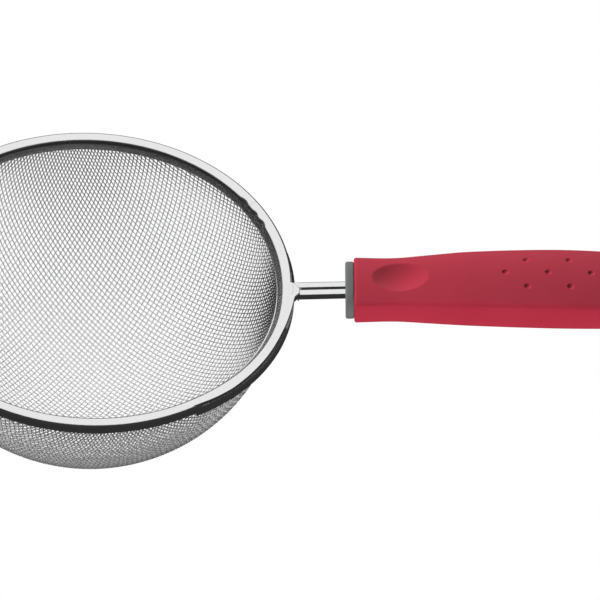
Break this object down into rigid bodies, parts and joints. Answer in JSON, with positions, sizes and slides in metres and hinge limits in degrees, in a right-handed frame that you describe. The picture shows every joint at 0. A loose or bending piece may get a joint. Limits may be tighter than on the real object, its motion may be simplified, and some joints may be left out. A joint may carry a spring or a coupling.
{
  "type": "hand sieve",
  "caption": "Round fine-mesh hand sieve for flour, with a folded steel rim, a two-wire stem and a red moulded handle.",
  "frame": {"origin": "centre of the rim, in the plane of its top face", "axes": "+X from the rim's centre towards the handle, +Z out of the bowl's mouth"},
  "size_m": [0.3013, 0.14, 0.0792],
  "materials": {
    "mesh_steel": "bright drawn wire",
    "rim_steel": "polished",
    "wire_steel": "polished",
    "collar_plastic": "satin",
    "core_plastic": "plain",
    "grip_plastic": "satin"
  },
  "bodies": {
    "root": {"mesh_bowl": "mesh_steel", "rim_band": "rim_steel", "rim_hoop": "wire_steel", "stem_wire": "wire_steel", "collar": "collar_plastic", "handle_core": "core_plastic", "handle_grip": "grip_plastic", "rest_ear": "wire_steel"}
  },
  "joints": []
}
